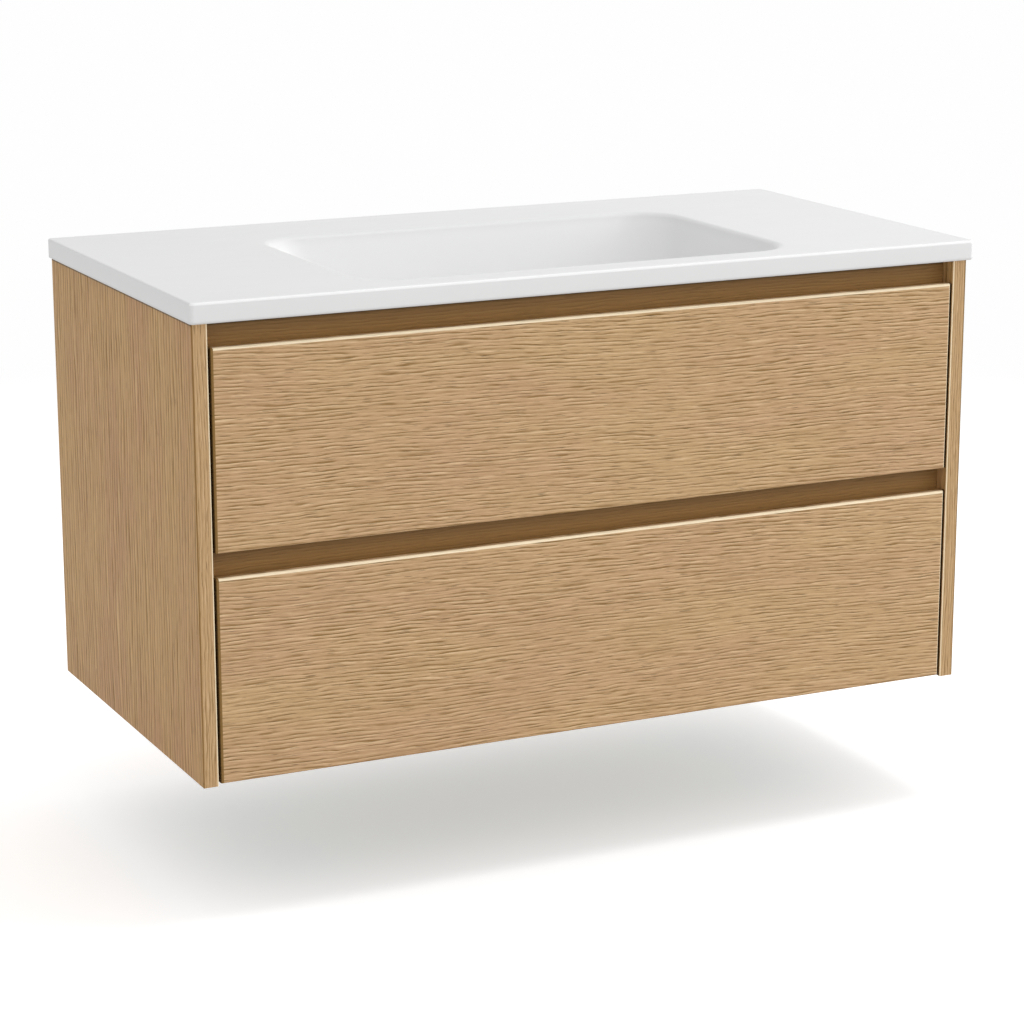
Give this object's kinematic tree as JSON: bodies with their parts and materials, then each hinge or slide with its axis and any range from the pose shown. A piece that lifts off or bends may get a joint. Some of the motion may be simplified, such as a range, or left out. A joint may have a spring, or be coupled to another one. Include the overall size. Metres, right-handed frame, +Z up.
{
  "type": "floating bathroom vanity",
  "caption": "Wall-hung bathroom vanity: a white slab basin with a rounded rectangular bowl on an oak-veneered cabinet with full-width grooved drawers.",
  "frame": {"origin": "middle of the four wall screws, in the plane of the wall", "axes": "+X to the right as seen from the room, +Y into the wall, +Z up; the drawer fronts face -Y"},
  "size_m": [1.01, 0.515, 0.554],
  "materials": {
    "oak": "matte",
    "oak_rail": "matte",
    "box_board": "satin",
    "beech": "matte",
    "zinc": "satin",
    "steel": "satin",
    "basin_stone": "satin",
    "chrome": "polished",
    "rubber": "matte",
    "white_plastic": "matte",
    "grey_plastic": "matte"
  },
  "bodies": {
    "cabinet": {"side_panel_left": "oak", "side_panel_right": "oak", "front_edge_bands": "oak", "bottom_panel": "oak", "top_front_rail": "oak_rail", "mid_front_rail": "oak_rail", "rear_top_rail": "box_board", "rear_bottom_rail": "box_board", "carcass_dowels": "beech", "cam_bolts": "steel", "cam_locks": "zinc", "front_bumpers": "white_plastic", "hanger_left": "grey_plastic", "hanger_right": "grey_plastic", "hanger_hook_left": "steel", "hanger_hook_right": "steel", "hanger_screws": "steel", "wall_plate_left": "zinc", "wall_plate_right": "zinc", "basin": "basin_stone", "waste_body": "chrome", "waste_seals": "rubber", "waste_nut": "chrome", "upper_rail_left": "steel", "upper_rail_right": "steel", "lower_rail_left": "steel", "lower_rail_right": "steel", "runner_dampers": "grey_plastic", "runner_screws": "steel"},
    "plug": {"waste_plug": "chrome"},
    "upper_runner": {"upper_slide_left": "steel", "upper_slide_right": "steel", "upper_glides": "white_plastic"},
    "upper_drawer": {"upper_front": "oak", "upper_side_left": "box_board", "upper_side_right": "box_board", "upper_subfront": "box_board", "upper_back_left": "box_board", "upper_back_right": "box_board", "upper_floor": "box_board", "upper_trap_guard": "white_plastic", "upper_carrier_left": "steel", "upper_carrier_right": "steel", "upper_clips": "grey_plastic", "upper_front_screws": "steel"},
    "lower_runner": {"lower_slide_left": "steel", "lower_slide_right": "steel", "lower_glides": "white_plastic"},
    "lower_drawer": {"lower_front": "oak", "lower_side_left": "box_board", "lower_side_right": "box_board", "lower_subfront": "box_board", "lower_back": "box_board", "lower_floor": "box_board", "lower_carrier_left": "steel", "lower_carrier_right": "steel", "lower_clips": "grey_plastic", "lower_front_screws": "steel"}
  },
  "joints": [
    {"name": "upper_drawer_slide", "type": "slide", "parent": "cabinet", "child": "upper_drawer", "axis": [0, -1, 0], "range_m": [0, 0.42]},
    {"name": "upper_runner_slide", "type": "slide", "parent": "cabinet", "child": "upper_runner", "axis": [0, -1, 0], "range_m": [0, 0.21]},
    {"name": "lower_drawer_slide", "type": "slide", "parent": "cabinet", "child": "lower_drawer", "axis": [0, -1, 0], "range_m": [0, 0.42]},
    {"name": "lower_runner_slide", "type": "slide", "parent": "cabinet", "child": "lower_runner", "axis": [0, -1, 0], "range_m": [0, 0.21]},
    {"name": "plug_lift", "type": "slide", "parent": "cabinet", "child": "plug", "axis": [0, 0, 1], "range_m": [0, 0.008]}
  ],
  "couplings": [
    {"joint": "upper_runner_slide", "follows": "upper_drawer_slide", "ratio": 0.5},
    {"joint": "lower_runner_slide", "follows": "lower_drawer_slide", "ratio": 0.5}
  ]
}
